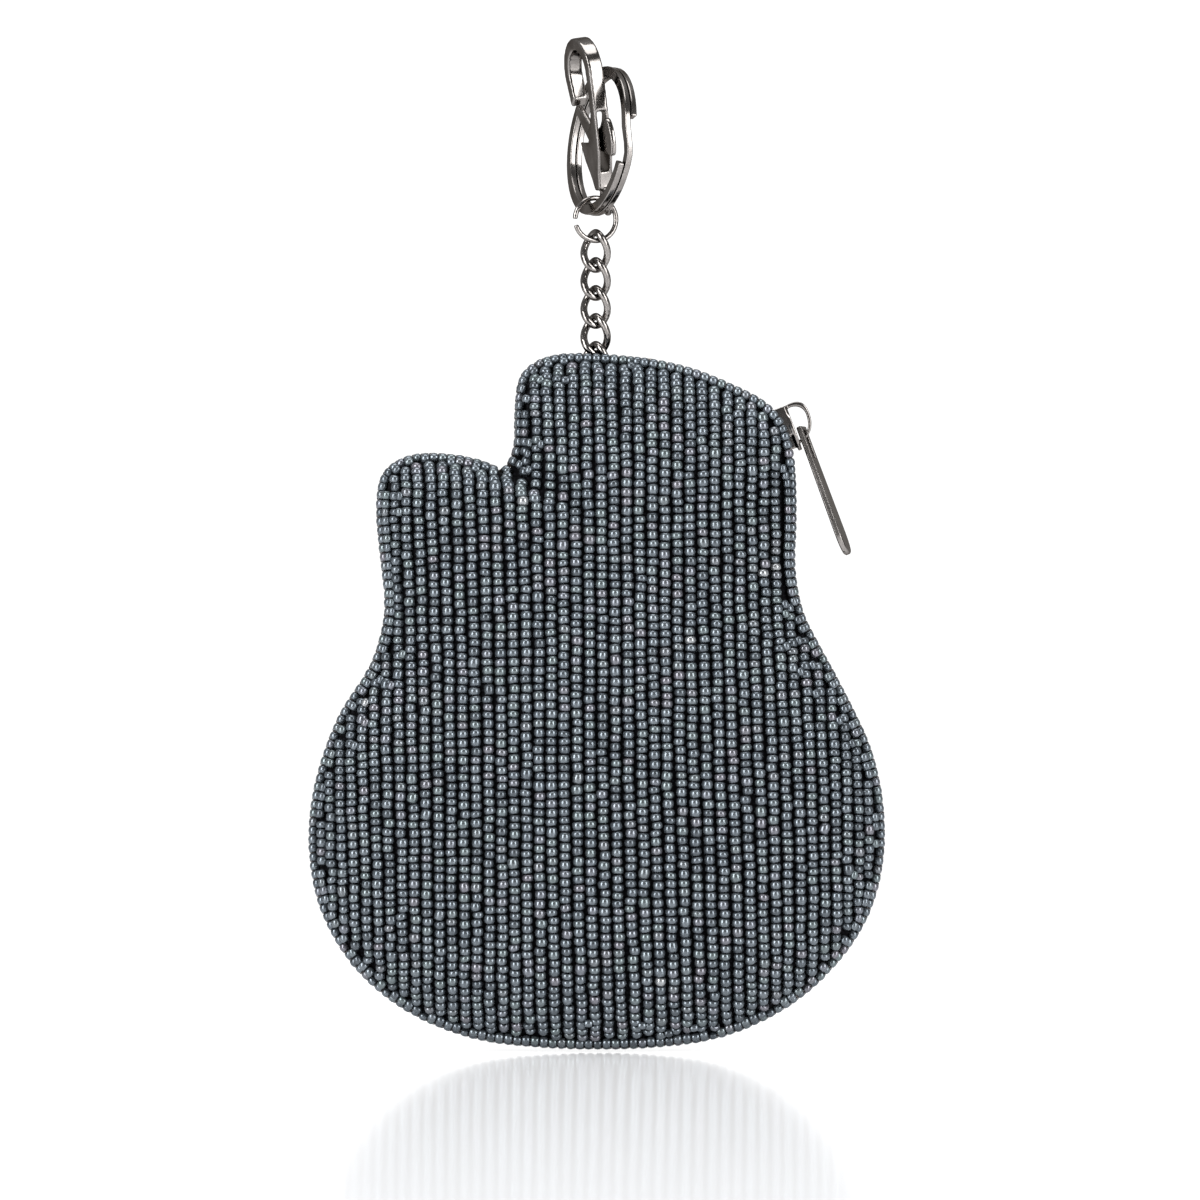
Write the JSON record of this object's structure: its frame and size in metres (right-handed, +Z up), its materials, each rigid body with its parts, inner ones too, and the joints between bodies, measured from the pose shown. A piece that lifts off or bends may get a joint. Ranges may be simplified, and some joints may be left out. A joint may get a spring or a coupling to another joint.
{
  "type": "beaded coin purse on a key chain",
  "caption": "Puffed beaded coin purse in a guitar body's outline with a zip along one shoulder, hanging on a curb chain with a split key ring and a lobster clasp.",
  "frame": {"origin": "inner top of the clasp's hook, where the whole thing hangs", "axes": "+Z up, along the longest way; +X to the right as the plain face is seen; +Y from the plain face to the other face"},
  "size_m": [0.0962, 0.0246, 0.1689],
  "materials": {
    "beads": "gunmetal seed beads on black cloth, metallic with a faint iris sheen",
    "dark_beads": "black brown seed beads on black cloth, glossy",
    "zip_tape": "woven black tape",
    "zip_coil": "black moulded coil",
    "thread": "black stitched thread",
    "gunmetal": "polished gunmetal plating"
  },
  "bodies": {
    "purse": {"back_panel": "beads", "front_panel": "dark_beads", "zip_tape_back": "zip_tape", "zip_tape_front": "zip_tape", "zip_teeth": "zip_coil", "zip_stop": "gunmetal", "chain_anchor": "thread", "zip_slider": "gunmetal", "clasp_body": "gunmetal", "jump_ring": "gunmetal", "split_ring": "gunmetal", "chain_link_1": "gunmetal", "chain_link_2": "gunmetal", "chain_link_3": "gunmetal", "chain_link_4": "gunmetal", "chain_link_5": "gunmetal"},
    "lever": {"clasp_lever": "gunmetal"},
    "pull": {"zip_pull": "gunmetal"}
  },
  "joints": [
    {"name": "clasp_lever_hinge", "type": "hinge", "parent": "purse", "child": "lever", "pos_m": [0.00266, 0, -0.01527], "axis": [0.9257, 0.342, 0.1616], "range_deg": [0, 40], "stiffness_Nm_per_rad": 0.012},
    {"name": "zip_pull_hinge", "type": "hinge", "parent": "purse", "child": "pull", "pos_m": [0.03695, -0.00059, -0.06327], "axis": [-0.225, -0.9744, 0], "range_deg": [0, 110]}
  ]
}
